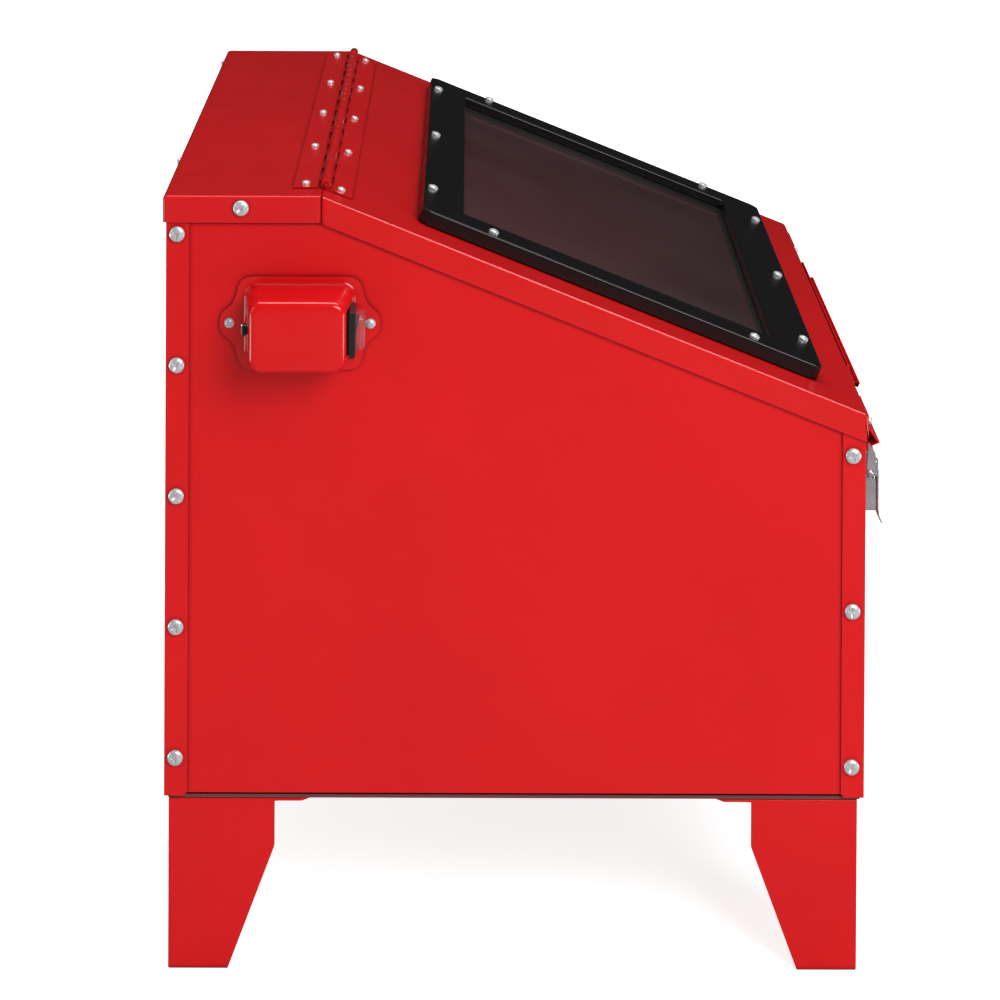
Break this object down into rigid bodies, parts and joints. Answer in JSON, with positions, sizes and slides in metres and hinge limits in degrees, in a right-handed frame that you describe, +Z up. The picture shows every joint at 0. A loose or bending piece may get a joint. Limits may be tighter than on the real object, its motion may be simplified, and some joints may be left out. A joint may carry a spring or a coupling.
{
  "type": "sandblast cabinet",
  "caption": "Bench-top abrasive blast cabinet: folded steel body on short legs, sloping hinged lid with a framed window, toggle latches, glove ports and a blast gun.",
  "frame": {"origin": "middle of the part's outline seen from above, switch box, latches and exhaust spigot included, on the floor between the legs", "axes": "+Z up, -Y towards the operator, +X to the operator's right"},
  "size_m": [0.6324, 0.5274, 0.5411],
  "materials": {
    "panels": "red powder coat, semi-gloss",
    "lid_paint": "red powder coat, glossy",
    "hinge_paint": "red powder coat over the piano hinge",
    "switch_box_paint": "red gloss paint",
    "zinc": "bright zinc plate",
    "frame_black": "black gloss paint",
    "window": "clear polycarbonate",
    "boot": "clear soft vinyl",
    "hose_clear": "milky vinyl hose",
    "black_plastic": "moulded black plastic",
    "glove_rubber": "matt black rubber",
    "hose_rubber": "matt black rubber",
    "seal_foam": "closed-cell foam",
    "bare_steel": "galvanised steel",
    "gun_alloy": "cast alloy",
    "ceramic": "off-white ceramic",
    "lamp_white": "white",
    "brass": "machined brass"
  },
  "bodies": {
    "cabinet": {"left_side_panel": "panels", "right_side_panel": "panels", "front_panel": "panels", "rear_panel": "panels", "bottom_panel": "panels", "top_panel": "panels", "leg_front_left": "panels", "leg_front_right": "panels", "leg_rear_right": "panels", "leg_rear_left": "panels", "hinge_leaf_fixed": "hinge_paint", "hinge_pin": "hinge_paint", "switch_box_cover": "switch_box_paint", "latch_base_left": "zinc", "latch_base_right": "zinc", "glove_clamp_left": "zinc", "glove_clamp_right": "zinc", "switch_boot": "boot", "suction_hose": "hose_clear", "switch_bezel": "black_plastic", "power_jack": "black_plastic", "port_ring_left": "black_plastic", "port_ring_right": "black_plastic", "vent_spigot": "black_plastic", "glove_left": "glove_rubber", "glove_right": "glove_rubber", "air_hose": "hose_rubber", "work_grate": "bare_steel", "grate_rail_left": "bare_steel", "grate_rail_right": "bare_steel", "vent_baffle": "bare_steel", "pickup_tube": "bare_steel", "gun_body": "gun_alloy", "gun_nozzle": "ceramic", "lamp_housing": "lamp_white", "lamp_tube": "lamp_white", "air_inlet_fitting": "brass"},
    "lid": {"lid_panel": "lid_paint", "hinge_leaf_lid": "hinge_paint", "window_frame": "frame_black", "window_pane": "window", "lid_seal": "seal_foam", "lid_handle_strip": "lid_paint", "latch_keeper_left": "lid_paint", "latch_keeper_right": "lid_paint"},
    "latch_lever_left": {"latch_lever_left": "zinc"},
    "latch_lever_right": {"latch_lever_right": "zinc"},
    "latch_hook_left": {"latch_hook_left": "zinc"},
    "latch_hook_right": {"latch_hook_right": "zinc"},
    "switch_rocker": {"switch_rocker": "black_plastic"},
    "gun_trigger": {"gun_trigger": "black_plastic"}
  },
  "joints": [
    {"name": "lid_hinge", "type": "hinge", "parent": "cabinet", "child": "lid", "pos_m": [0.01965, 0.12495, 0.5378], "axis": [-1, 0, 0], "range_deg": [0, 115]},
    {"name": "latch_lever_left", "type": "hinge", "parent": "cabinet", "child": "latch_lever_left", "pos_m": [-0.23635, -0.25705, 0.344], "axis": [-1, 0, 0], "range_deg": [0, 130]},
    {"name": "latch_hook_left", "type": "hinge", "parent": "latch_lever_left", "child": "latch_hook_left", "pos_m": [-0.23635, -0.25445, 0.3365], "axis": [-1, 0, 0], "range_deg": [-130, 0]},
    {"name": "latch_lever_right", "type": "hinge", "parent": "cabinet", "child": "latch_lever_right", "pos_m": [0.27565, -0.25705, 0.344], "axis": [-1, 0, 0], "range_deg": [0, 130]},
    {"name": "latch_hook_right", "type": "hinge", "parent": "latch_lever_right", "child": "latch_hook_right", "pos_m": [0.27565, -0.25445, 0.3365], "axis": [-1, 0, 0], "range_deg": [-130, 0]},
    {"name": "switch_rock", "type": "hinge", "parent": "cabinet", "child": "switch_rocker", "pos_m": [-0.29465, 0.10565, 0.447], "axis": [-1, 0, 0], "range_deg": [0, 14]},
    {"name": "trigger_squeeze", "type": "hinge", "parent": "cabinet", "child": "gun_trigger", "pos_m": [0.01965, -0.15055, 0.1845], "axis": [-1, 0, 0], "range_deg": [0, 10]}
  ],
  "couplings": [
    {"joint": "latch_hook_left", "follows": "latch_lever_left", "ratio": -1},
    {"joint": "latch_hook_right", "follows": "latch_lever_right", "ratio": -1}
  ]
}
